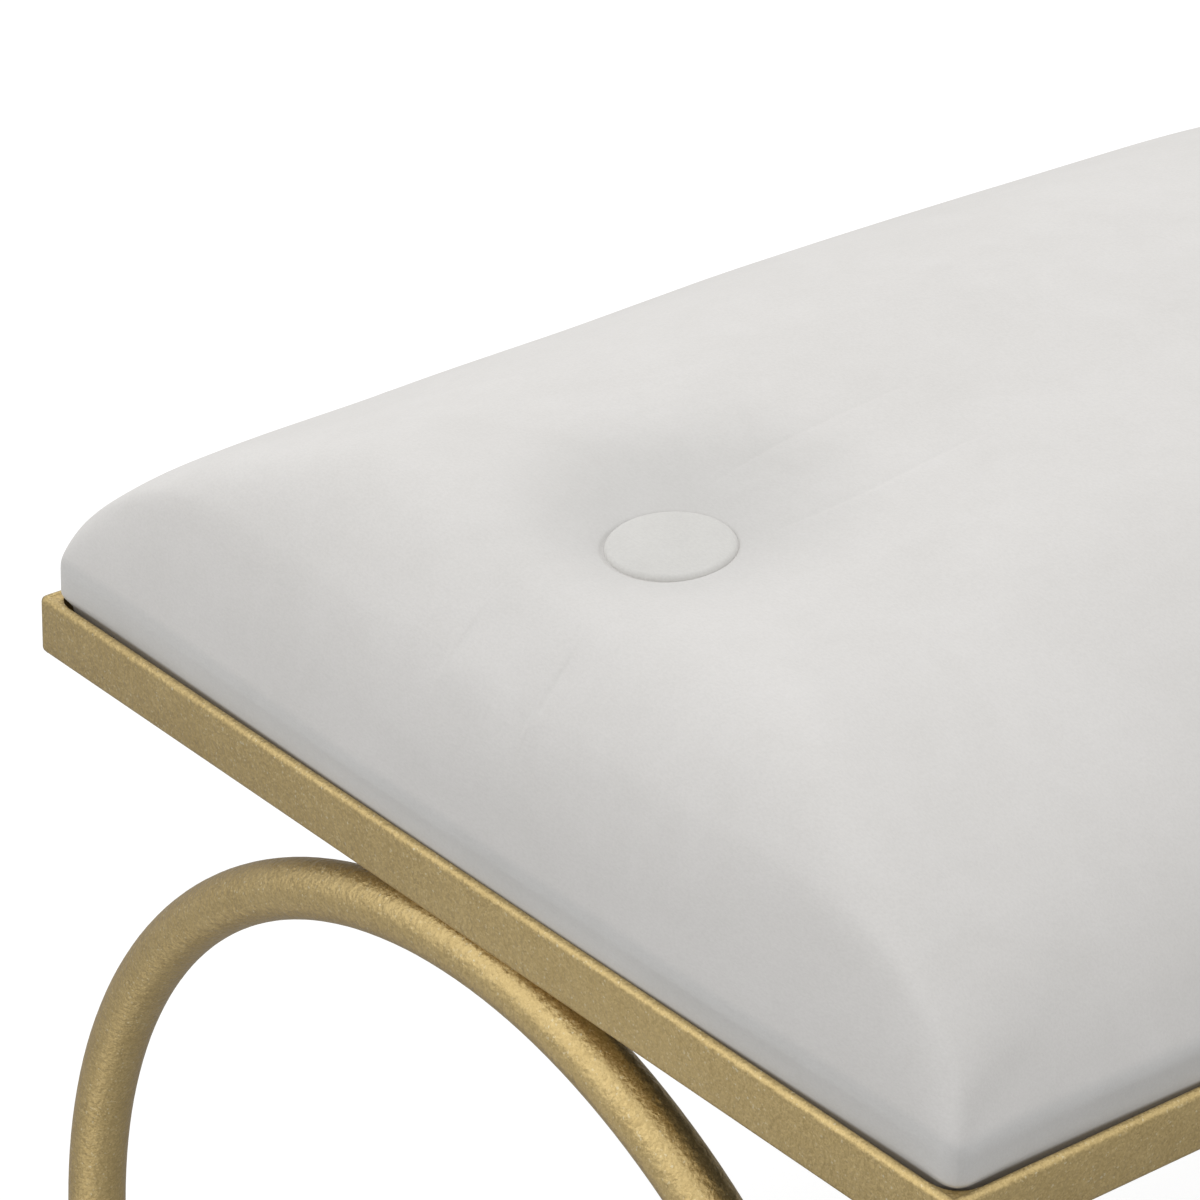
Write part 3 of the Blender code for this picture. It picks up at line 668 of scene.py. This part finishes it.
# %% [markdown]
# Each button leans with the slope it sits on, a little higher towards the middle of the stool.
# It draws the velvet down most at its own rim, where the cloth closes round it in a fine
# groove, and less and less further out. The last function adds this to the free height.

# %% Dimples round the buttons
button_top = button_high.z + 0.0004
button_slope = 0.080
dimple_reach = 0.066
dimple_power = 2.3
rim_depth = 0.0010
groove_width = 0.0014
groove_depth = 0.0018
groove_power = 2.5


def button_plane(x, y, end):
    """Height of a button's face, carried on beyond its rim."""
    return button_top - button_slope * end * (x - end * button_x)


def velvet_height(x, y):
    """Top of the velvet with the two dimples."""
    height = free_height(x, y)
    end = 1 if x > 0 else -1
    across = x - end * button_x
    distance = max(math.hypot(across, y), 0.000001)
    if distance > dimple_reach:
        return height
    rim_x = end * button_x + across * button_radius / distance
    rim_y = y * button_radius / distance
    depth = free_height(rim_x, rim_y) - button_plane(rim_x, rim_y, end) + rim_depth
    away = min(1.0, (dimple_reach - distance) / (dimple_reach - button_radius))
    drawn = height - depth * away**dimple_power
    lip = min(1.0, max(0.0, (distance - button_radius) / groove_width))
    under = button_plane(x, y, end) - groove_depth
    return under + (drawn - under) * (1 - (1 - lip)**groove_power)


rim_rise = velvet_height(button_x + button_radius + 0.003, 0) - rail_top
print("buttons at x:", round(button_x, 4), "velvet by the rim:", round(rim_rise, 4))

# %% [markdown]
# The form is laid on a grid. Its lines are placed one by one: close together at the sides, where
# the form turns down, and close together near the buttons, where they are also drawn from
# squares into circles, so that the velvet closes round each button in true rings.

# %% Lines of the grid
rings = [
    0.006, 0.011, 0.0155, 0.0185, 0.0195, 0.0200, 0.0206, 0.0214, 0.0228,
    0.0250, 0.0280, 0.0320, 0.0370, 0.0425, 0.0485, 0.0555, 0.0625,
]
corner_insets = [0.0, 0.0003, 0.0008, 0.0016, 0.0027, 0.0042, 0.0060]
middle_steps = 15
side_steps = 15
end_steps = 3


def eased(start, end, steps):
    """Places between two values, closer together towards the second one."""
    return [start + (end - start) * (1 - (1 - k / steps)**1.5) for k in range(1, steps)]


def mirrored(places):
    """The places on both sides of the middle, with the middle itself."""
    ordered = sorted(places)
    return [-place for place in reversed(ordered)] + [0.0] + ordered


across_lines = rings + eased(rings[-1], cushion_y - corner_insets[-1], side_steps)
across_lines += [cushion_y - inset for inset in corner_insets]
lines_y = mirrored(across_lines)
along_lines = [button_x - ring for ring in rings] + [button_x]
along_lines += [button_x + ring for ring in rings]
along_lines += [(button_x - rings[-1]) * k / middle_steps for k in range(1, middle_steps)]
along_lines += eased(button_x + rings[-1], cushion_x - corner_insets[-1], end_steps)
along_lines += [cushion_x - inset for inset in corner_insets]
lines_x = mirrored(along_lines)
print("lines along and across:", len(lines_x), len(lines_y))

# %% [markdown]
# A few functions work on the grid, because the wadding and the foam need them too. One lays
# the top, one draws the rim down, and one bows the sides: most at their middle, a little more
# towards the front, and with a soft ridge over the edge of the board.

# %% Working the grid
true_rings = 0.034
lift_start = -0.0006
lift_length = 0.0010
tip_power = 15
bow_start = -0.004
front_share = 0.3
ridge_rise = 0.0118
ridge_width = 0.0055


def rounded_place(x, y, corner):
    """A point's place, drawn on to the round corner and on to the rings of a button."""
    across_x = (abs(x) - cushion_x) / corner + 1
    across_y = (abs(y) - cushion_y) / corner + 1
    if across_x > 0 and across_y > 0:
        drawn_x = across_x * math.sqrt(1 - across_y**2 / 2)
        drawn_y = across_y * math.sqrt(1 - across_x**2 / 2)
        return (
            math.copysign(cushion_x - corner * (1 - drawn_x), x),
            math.copysign(cushion_y - corner * (1 - drawn_y), y),
        )
    centre = math.copysign(button_x, x)
    square = max(abs(x - centre), abs(y))
    if 0 < square < rings[-1]:
        round_share = soft_share((rings[-1] - square) / (rings[-1] - true_rings))
        factor = 1 - round_share + round_share * square / math.hypot(x - centre, y)
        return centre + (x - centre) * factor, y * factor
    return x, y


def cushion_top(corner):
    """The crowned top as an open grid."""
    body = bmesh.new()
    bmesh.ops.create_grid(body, x_segments=len(lines_x) - 1, y_segments=len(lines_y) - 1, size=1)
    for vert in body.verts:
        x = lines_x[round((vert.co.x + 1) / 2 * (len(lines_x) - 1))]
        y = lines_y[round((vert.co.y + 1) / 2 * (len(lines_y) - 1))]
        x, y = rounded_place(x, y, corner)
        vert.co = (x, y, velvet_height(x, y))
    return body


def draw_down(body, loop, inward, height):
    """Extrude the rim of the cushion to a height, so far in; returns the new rim."""
    reach_x = max(vert.co.x for edge in loop for vert in edge.verts)
    reach_y = max(vert.co.y for edge in loop for vert in edge.verts)
    drawn = bmesh.ops.extrude_edge_only(body, edges=loop)
    verts = new_verts(drawn)
    bmesh.ops.scale(body, vec=(1 - inward / reach_x, 1 - inward / reach_y, 1), verts=verts)
    for vert in verts:
        vert.co.z = height
    return [edge for edge in new_edges(drawn["geom"]) if edge.is_boundary]


def ridge_wave(x, y):
    """How strong the ridge is along the sides: a little more and less than 1."""
    return 1 + 0.2 * math.sin(31 * y + 47 * x) + 0.15 * math.sin(83 * y - 59 * x)


def bow_sides(body, bow, ridge=0.0, corner=0.0):
    """Bow the sides out above the frame, raise a ridge on them and fill the corners."""
    for vert in body.verts:
        lift = min(1.0, max(0.0, (vert.co.z - rail_top - lift_start) / lift_length))
        tip = min(abs(vert.co.x) / cushion_x, abs(vert.co.y) / cushion_y)**tip_power
        vert.co.x += math.copysign(corner * lift * tip, vert.co.x)
        vert.co.y += math.copysign(corner * lift * tip, vert.co.y)
        over = vert.co.z - rail_top
        if over > bow_start:
            share_x = vert.co.x / cushion_x
            share_y = vert.co.y / cushion_y
            on_ridge = math.exp(-((over - ridge_rise) / ridge_width)**2)
            swell = bow + ridge * ridge_wave(vert.co.x, vert.co.y) * on_ridge
            vert.co.x += swell * share_x**5 * (1 - share_y**2) * (1 - front_share * share_y)
            vert.co.y += swell * share_y**5 * (1 - share_x**2)


print("points of the top:", len(lines_x) * len(lines_y))

# %% [markdown]
# Now the cover is made. Its sides are drawn down in small steps and bowed out. Inside the
# frame the rim goes on down and a little inwards, and the hem is turned in under the board.

# %% Velvet cushion
side_foot = 0.001
side_shares = (0.88, 0.76, 0.64, 0.52, 0.4, 0.25, 0.12, 0.0)
hem_width = 0.033
tucks = (
    (0.0010, rail_top - 0.008),
    (0.0002, cover_low.z + 0.003),
    (0.0006, cover_low.z + 0.0006),
    (0.0004, cover_low.z),
    (hem_width, cover_low.z),
)
body = cushion_top(cushion_corner)
rim = [edge for edge in body.edges if edge.is_boundary]
for share in side_shares:
    height = rail_top + side_foot + (side_rise - edge_rise - side_foot) * share
    rim = draw_down(body, rim, 0, height)
for depth in (0.0015, 0.0035):
    rim = draw_down(body, rim, 0, rail_top - depth)
bow_sides(body, bow=0.0027, ridge=0.0015, corner=0.0031)
for inward, height in tucks:
    rim = draw_down(body, rim, inward, height)
cushion = finish_piece(
    "velvet_cushion", body, cream_velvet, ["seat_cover"], angle=70,
)

# %% [markdown]
# Real velvet finds its own form between the filling that pushes it out and the places where
# it is held: the frame and the buttons. A short cloth simulation does the same. It runs on a
# copy without thickness, a point may move only a few millimetres, and the settled places are
# written back, so that no simulation is left on the piece.

# %% Settling the velvet
frame_hold, frame_fade = 0.016, 0.010
button_hold, button_fade = 0.020, 0.016
settling_frames = 20
furthest_allowed = 0.0040
cloth_thickness = 0.0012


def settle_velvet(piece, frames, most):
    """Blow the velvet up between its held points; returns the furthest move."""
    trial = bpy.data.objects.new("settling", piece.data.copy())
    bpy.context.scene.collection.objects.link(trial)
    held = trial.vertex_groups.new(name="held")
    for vert in trial.data.vertices:
        from_button = math.hypot(abs(vert.co.x) - button_x, vert.co.y)
        by_frame = (rail_top + frame_hold - vert.co.z) / frame_fade
        by_button = (button_radius + button_hold - from_button) / button_fade
        held.add([vert.index], min(1.0, max(by_frame, by_button, 0.0)), "REPLACE")
    modifier = trial.modifiers.new("velvet", "CLOTH")
    sewn = modifier.settings
    sewn.quality = 6
    sewn.mass = 0.02
    sewn.tension_stiffness = 30
    sewn.compression_stiffness = 30
    sewn.shear_stiffness = 12
    sewn.bending_stiffness = 4
    sewn.use_pressure = True
    sewn.uniform_pressure_force = 4
    sewn.vertex_group_mass = "held"
    sewn.effector_weights.gravity = 0
    modifier.point_cache.frame_start = 1
    modifier.point_cache.frame_end = frames
    for step in range(1, frames + 1):
        bpy.context.scene.frame_set(step)
    settled = trial.evaluated_get(bpy.context.evaluated_depsgraph_get()).data
    furthest = 0.0
    for vert, after in zip(piece.data.vertices, settled.vertices):
        move = after.co - vert.co
        furthest = max(furthest, move.length)
        if move.length > most:
            move = move.normalized() * most
        vert.co += move
    bpy.data.objects.remove(trial)
    bpy.context.scene.frame_set(1)
    return furthest


furthest = settle_velvet(cushion, settling_frames, furthest_allowed)
print("furthest move before the limit:", round(furthest, 5))
cloth = cushion.modifiers.new("cloth thickness", "SOLIDIFY")
cloth.thickness = cloth_thickness
cloth.offset = -1
fine = cushion.modifiers.new("finer cloth", "SUBSURF")
fine.levels = 1
fine.render_levels = 1
print("thickness of the velvet:", cloth_thickness)

# %% [markdown]
# A covered button is a shallow disc with velvet drawn over its rim. It is turned from its
# half outline, and the outline has a round shoulder and a slightly crowned face. Then it is
# leaned with the slope of the cushion.

# %% Covered buttons
button_round = 0.0018
button_crown = 0.0008
button_edge = button_radius - button_round
crown_shares = (0.9, 0.75, 0.6, 0.4, 0.2, 0)


def quarter_turn(centre, radius, start, steps=5):
    """Points of a quarter circle, anticlockwise from the start angle."""
    turns = [start + math.pi / 2 / steps * k for k in range(steps + 1)]
    return [
        (centre[0] + radius * math.cos(turn), centre[1] + radius * math.sin(turn))
        for turn in turns
    ]


def turned(points, sides, place):
    """A round body from (radius, height) points, standing at a place."""
    body = bmesh.new()
    verts = [body.verts.new((radius + place[0], place[1], height)) for radius, height in points]
    edges = [body.edges.new(pair) for pair in zip(verts, verts[1:])]
    bmesh.ops.spin(
        body, geom=verts + edges, cent=(*place, 0), axis=(0, 0, 1), angle=math.tau, steps=sides,
        use_merge=True,
    )
    bmesh.ops.remove_doubles(body, verts=body.verts, dist=merge_distance)
    return body


button_velvet = velvet_finish("button_velvet", (0.700, 0.692, 0.668), (0.620, 0.610, 0.588))
outline = [(0, button_low.z)]
outline += quarter_turn((button_edge, button_low.z + button_round), button_round, -math.pi / 2)
outline += quarter_turn((button_edge, button_top - button_round), button_round, 0)
for share in crown_shares:
    outline.append((button_edge * share, button_top + button_crown * (1 - share**2)))
for end, name in ((-1, "left"), (1, "right")):
    body = turned(outline, 96, (end * button_x, 0))
    lean = Matrix.Rotation(end * math.atan(button_slope), 3, "Y")
    bmesh.ops.rotate(body, verts=body.verts, cent=(end * button_x, 0, button_top), matrix=lean)
    button = finish_piece(
        "covered_button_" + name, body, button_velvet, ["tuft_button_" + name],
    )

# %% [markdown]
# Under the velvet a layer of white wadding softens the foam, and the foam lies on the board.
# Nobody sees them, but a stool that is taken apart has them, so they get their own forms.

# %% Wadding and foam
white_wadding, wadding_shader = new_finish("white_wadding", (0.80, 0.80, 0.78), 1.0)
fluff = pattern(white_wadding, "TexNoise", scale=420.0, detail=6.0)
fluff_tone = ramp(white_wadding, fluff, "Fac", [
    (0.3, (0.70, 0.70, 0.68)), (0.7, (0.86, 0.86, 0.84)),
])
join(white_wadding, fluff_tone, "Color", wadding_shader, "Base Color")
bumps(white_wadding, wadding_shader, [(fluff, "Fac", 0.6, 0.0012)])
foam_finish, foam_shader = new_finish("seat_foam", (0.78, 0.72, 0.50), 1.0)
cells = pattern(foam_finish, "TexVoronoi", scale=900.0)
cell_tone = ramp(foam_finish, cells, "Distance", [
    (0.1, (0.62, 0.56, 0.36)), (0.6, (0.82, 0.76, 0.55)),
])
join(foam_finish, cell_tone, "Color", foam_shader, "Base Color")
bumps(foam_finish, foam_shader, [(cells, "Distance", 0.5, 0.0006)])


inner_corner = 0.010
inner_bow = 0.0009
foam_depth = 0.0062
wadding_depth = 0.0018
wadding_loft = 0.004


def inner_form(name, depth, finish, replaced, layer=0.0):
    """A form so deep under the velvet, down to the board: closed, or an open layer."""
    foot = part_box(replaced)[0].z
    body = cushion_top(inner_corner)
    rim = [edge for edge in body.edges if edge.is_boundary]
    rim = draw_down(body, rim, 0, rail_top + side_foot)
    rim = draw_down(body, rim, 0, foot)
    bow_sides(body, inner_bow)
    bmesh.ops.recalc_face_normals(body, faces=body.faces)
    body.normal_update()
    moves = [(vert, vert.normal * vert.calc_shell_factor() * depth) for vert in body.verts]
    for vert, move in moves:
        vert.co -= move
    for edge in rim:
        for vert in edge.verts:
            vert.co.z = foot
    if not layer:
        bmesh.ops.holes_fill(body, edges=rim, sides=0)
    made = finish_piece(name, body, finish, [replaced])
    if layer:
        loft = made.modifiers.new("loft of the wadding", "SOLIDIFY")
        loft.thickness = layer
        loft.offset = -1


inner_form("foam_block", foam_depth, foam_finish, "foam_pad")
inner_form(
    "wadding_layer", wadding_depth, white_wadding, "wadding_wrap",
    wadding_loft,
)

# %% [markdown]
# The other solids keep their shape and get finishes of their own: plywood with its grain,
# zinc on the washers, waxed twine, black plastic on the glides and gold on the welds. The black
# cloth and the zinc are also for the dust cloth, the staples and the screws of the next cells.

# %% Small finishes
plywood, plywood_shader = new_finish("birch_plywood", (0.55, 0.40, 0.24), 0.68)
grain = pattern(plywood, "TexNoise", stretch=(6, 90, 6), scale=3.0, detail=6.0, distortion=1.2)
grain_tone = ramp(plywood, grain, "Fac", [(0.3, (0.42, 0.29, 0.16)), (0.7, (0.62, 0.47, 0.29))])
join(plywood, grain_tone, "Color", plywood_shader, "Base Color")
bumps(plywood, plywood_shader, [(grain, "Fac", 0.2, 0.0004)])

black_cloth, cloth_shader = new_finish("black_dust_cloth", (0.025, 0.025, 0.027), 0.95)
fibres = pattern(black_cloth, "TexVoronoi", stretch=(1, 1.4, 1), scale=520.0)
fibre_tone = ramp(black_cloth, fibres, "Distance", [
    (0.1, (0.016, 0.016, 0.018)), (0.7, (0.045, 0.045, 0.047)),
])
join(black_cloth, fibre_tone, "Color", cloth_shader, "Base Color")
bumps(black_cloth, cloth_shader, [(fibres, "Distance", 0.5, 0.0004)])

zinc, zinc_shader = new_finish("zinc_plate", (0.60, 0.60, 0.58), 0.34, 1.0)
spangle = pattern(zinc, "TexNoise", scale=600.0, detail=4.0)
spangle_tone = ramp(zinc, spangle, "Fac", [(0.35, (0.50, 0.50, 0.48)), (0.65, (0.68, 0.68, 0.66))])
join(zinc, spangle_tone, "Color", zinc_shader, "Base Color")
bumps(zinc, zinc_shader, [(spangle, "Fac", 0.15, 0.0001)])

twine_finish, twine_shader = new_finish("waxed_twine", (0.62, 0.58, 0.48), 0.85)
strands = pattern(twine_finish, "TexWave", scale=260.0, distortion=1.0)
strand_tone = ramp(twine_finish, strands, "Fac", [
    (0.2, (0.48, 0.44, 0.34)), (0.8, (0.70, 0.66, 0.55)),
])
join(twine_finish, strand_tone, "Color", twine_shader, "Base Color")
bumps(twine_finish, twine_shader, [(strands, "Fac", 0.6, 0.0003)])

black_plastic, plastic_shader = new_finish("black_plastic", (0.022, 0.022, 0.023), 0.5)
mould = pattern(black_plastic, "TexNoise", scale=1500.0, detail=3.0)
mould_tone = ramp(black_plastic, mould, "Fac", [
    (0.3, (0.018, 0.018, 0.019)), (0.7, (0.03, 0.03, 0.031)),
])
join(black_plastic, mould_tone, "Color", plastic_shader, "Base Color")
bumps(black_plastic, plastic_shader, [(mould, "Fac", 0.3, 0.0001)])

dressed = {
    "seat_board": plywood, "twine_washer": zinc,
    "button_twine": twine_finish, "foot_glide": black_plastic,
    "corner_weld": gold, "crown_weld": gold,
}
for node_name, node in nodes.items():
    for start, finish in dressed.items():
        if node_name.startswith(start):
            node.data.materials.clear()
            node.data.materials.append(finish)
print("dressed solids:", sum(node_name.startswith(tuple(dressed)) for node_name in nodes))

# %% [markdown]
# Under the seat a black dust cloth hides the board. It is a thin sheet, cut to lie on the
# inside of the flanges and stapled to the board just inside them. Its middle hangs a few
# millimetres, clear of the knots of the twine, and it puckers a little between the staples.

# %% Dust cloth
dust_low, dust_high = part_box("dust_cover")
dust_x = dust_high.x
dust_y = dust_high.y
staple_inset = 0.006
staple_x = half_x - flange - staple_inset
staple_y = half_y - flange - staple_inset
staple_gap = 0.036
cloth_wall = 0.0003
cloth_drop = 0.0002
pucker_depth = 0.00022
full_sag = dust_high.z - dust_low.z - 2 * cloth_wall


def staple_wave(place, half):
    """Height of the loose cloth between two staples, from 0 to 1."""
    return 0.5 - 0.5 * math.cos(math.tau * (place + half) / staple_gap)


body = bmesh.new()
bmesh.ops.create_grid(body, x_segments=120, y_segments=90, size=1)
bmesh.ops.scale(body, vec=(dust_x, dust_y, 1), verts=body.verts)
for vert in body.verts:
    share_x = min(1.0, abs(vert.co.x) / staple_x)
    share_y = min(1.0, abs(vert.co.y) / staple_y)
    sag = full_sag * (1 - share_x**4) * (1 - share_y**4)
    wave_x = share_x**14 * staple_wave(vert.co.y, staple_y)
    wave_y = share_y**14 * staple_wave(vert.co.x, staple_x)
    vert.co.z = dust_high.z - cloth_drop - sag - pucker_depth * (wave_x + wave_y)
dust_sheet = finish_piece("dust_sheet", body, black_cloth, ["dust_cover"])
dust_wall = dust_sheet.modifiers.new("cloth thickness", "SOLIDIFY")
dust_wall.thickness = cloth_wall

# %% [markdown]
# The staples are small flat bars in rows along the four edges of the board. Each starts as a
# cube that one matrix shapes, turns and places, and together they make one piece.

# %% Staples
staple_size = (0.0098, 0.0012, 0.0006)
staple_round = 0.00022
staple_height = dust_high.z - 0.0007


def row_places(half):
    """Evenly spaced places along an edge, as many on one side of its middle as on the other."""
    count = int(2 * half / staple_gap)
    return [(k - (count - 1) / 2) * staple_gap for k in range(count)]


body = bmesh.new()
staples = []
for side in (-1, 1):
    staples += [(place, side * staple_y, 0) for place in row_places(staple_x)]
    staples += [(side * staple_x, place, math.pi / 2) for place in row_places(staple_y)]
for x, y, turn in staples:
    made = bmesh.ops.create_cube(body, size=1)
    shape = Matrix.Translation((x, y, staple_height)) @ Matrix.Rotation(turn, 4, "Z")
    shape = shape @ Matrix.Diagonal((*staple_size, 1))
    bmesh.ops.transform(body, matrix=shape, verts=made["verts"])
bmesh.ops.bevel(
    body, geom=body.edges[:], offset=staple_round, segments=2, affect="EDGES", profile=0.5,
    material=-1,
)
finish_piece("dust_sheet_staples", body, zinc, angle=50)
print("staples:", len(staples))

# %% [markdown]
# The screws that hold the board have domed heads with a cross for the driver. The head is
# turned like the buttons, and its hollow is drawn into a cross: each of its rings is made
# narrow on the slants and kept wide along the two arms.

# %% Screws
screw_tip = 0.003
thread_pitch = 0.0012
crest_start = 0.0035
neck_height = 0.0034
head_height = 0.0026
head_outline = (
    (0.93, 0.0030), (1, head_height), (1, 0.0019), (0.93, 0.0010), (0.78, 0.0004), (0.58, 0),
    (0.50, 0.0001), (0.40, 0.0014), (0.18, 0.0019), (0, 0.0020),
)


def cross_screw(name, node):
    """A screw in the place of its solid, head down."""
    low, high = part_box(node)
    middle = (low + high) / 2
    head = (high.x - low.x) / 2
    shank = head * 0.42
    sole = low.z
    root, crest = high.z - screw_tip, high.z - crest_start
    points = [(0, high.z), (shank * 0.5, high.z - 0.0012), (shank, root)]
    for k in range(int((root - sole - 0.004) / thread_pitch)):
        points += [(shank, root - thread_pitch * k), (shank * 1.22, crest - thread_pitch * k)]
    points.append((shank, sole + neck_height))
    points += [(head * share, sole + height) for share, height in head_outline]
    body = turned(points, 48, (middle.x, middle.y))
    for vert in body.verts:
        across = vert.co - Vector((middle.x, middle.y, vert.co.z))
        if across.length < head * 0.54 and vert.co.z < sole + head_height:
            arms = abs(math.cos(2 * math.atan2(across.y, across.x)))**2
            vert.co.x = middle.x + across.x * (0.38 + 0.62 * arms)
            vert.co.y = middle.y + across.y * (0.38 + 0.62 * arms)
    finish_piece(name, body, zinc, [node], angle=35)


for node_name in nodes:
    if "_screw_" in node_name:
        cross_screw(node_name.replace("screw", "cross_screw"), node_name)
